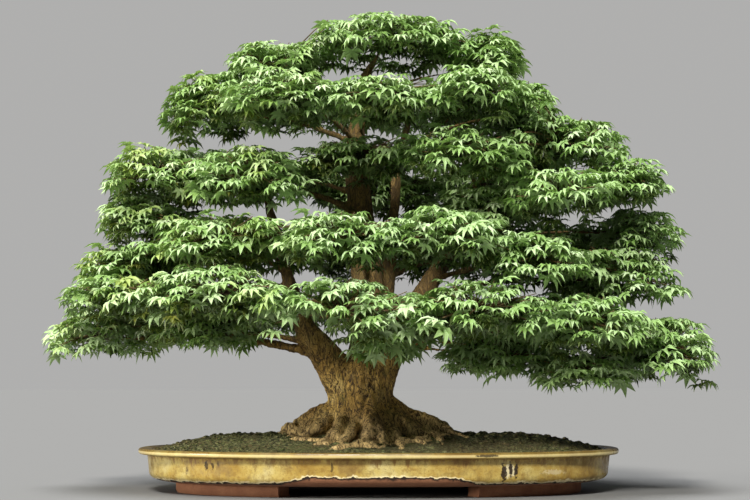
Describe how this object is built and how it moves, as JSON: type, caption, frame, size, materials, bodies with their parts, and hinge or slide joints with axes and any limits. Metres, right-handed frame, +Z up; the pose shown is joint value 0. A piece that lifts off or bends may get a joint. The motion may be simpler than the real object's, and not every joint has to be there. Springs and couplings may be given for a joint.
{
  "type": "bonsai tree",
  "caption": "Maple bonsai with layered pads of leaves on a flared, rooted trunk, planted in a mossy mound in a shallow oval glazed tray on low feet.",
  "frame": {"origin": "on the surface the tray stands on, under the middle of the tray and of the spread of leaves", "axes": "+X along the tray's length, to the viewer's right; +Y to the back; +Z up the trunk"},
  "size_m": [0.9305, 0.6481, 0.67],
  "materials": {
    "glazed_clay": "satin",
    "soil": "matte",
    "moss": "matte",
    "bark": "matte",
    "leaves": "satin",
    "mesh_plastic": "matte",
    "wire": "satin"
  },
  "bodies": {
    "root": {"anchor_wire_left": "wire", "anchor_wire_right": "wire", "drain_mesh_left": "mesh_plastic", "drain_mesh_right": "mesh_plastic", "leaves_apex_left": "leaves", "leaves_apex_middle": "leaves", "leaves_apex_right": "leaves", "leaves_edge_right": "leaves", "leaves_hem_left": "leaves", "leaves_hem_left_inner": "leaves", "leaves_hem_middle": "leaves", "leaves_hem_right": "leaves", "leaves_hem_right_front": "leaves", "leaves_inner_right": "leaves", "leaves_middle_front": "leaves", "leaves_shoulder_back": "leaves", "leaves_shoulder_back_left": "leaves", "leaves_shoulder_back_right": "leaves", "leaves_shoulder_left": "leaves", "leaves_shoulder_left_front": "leaves", "leaves_shoulder_right": "leaves", "leaves_shoulder_right_front": "leaves", "leaves_side_left": "leaves", "leaves_side_right": "leaves", "leaves_side_right_front": "leaves", "leaves_skirt_back": "leaves", "leaves_skirt_back_left": "leaves", "leaves_skirt_back_right": "leaves", "leaves_skirt_left": "leaves", "leaves_skirt_left_front": "leaves", "leaves_skirt_middle_left": "leaves", "leaves_skirt_middle_right": "leaves", "leaves_skirt_right": "leaves", "leaves_skirt_right_front": "leaves", "leaves_upper_back_left": "leaves", "leaves_upper_back_right": "leaves", "leaves_upper_left": "leaves", "leaves_upper_left_front": "leaves", "leaves_upper_middle_front": "leaves", "leaves_upper_right": "leaves", "leaves_upper_right_front": "leaves", "leaves_waist_back": "leaves", "leaves_waist_back_left": "leaves", "leaves_waist_back_right": "leaves", "leaves_waist_left": "leaves", "leaves_waist_left_front": "leaves", "leaves_waist_middle_left": "leaves", "leaves_waist_middle_right": "leaves", "leaves_waist_right": "leaves", "leaves_waist_right_front": "leaves", "mesh_clip_left": "wire", "mesh_clip_right": "wire", "moss": "moss", "soil": "soil", "tray": "glazed_clay", "trunk_and_branches": "bark"}
  },
  "joints": []
}
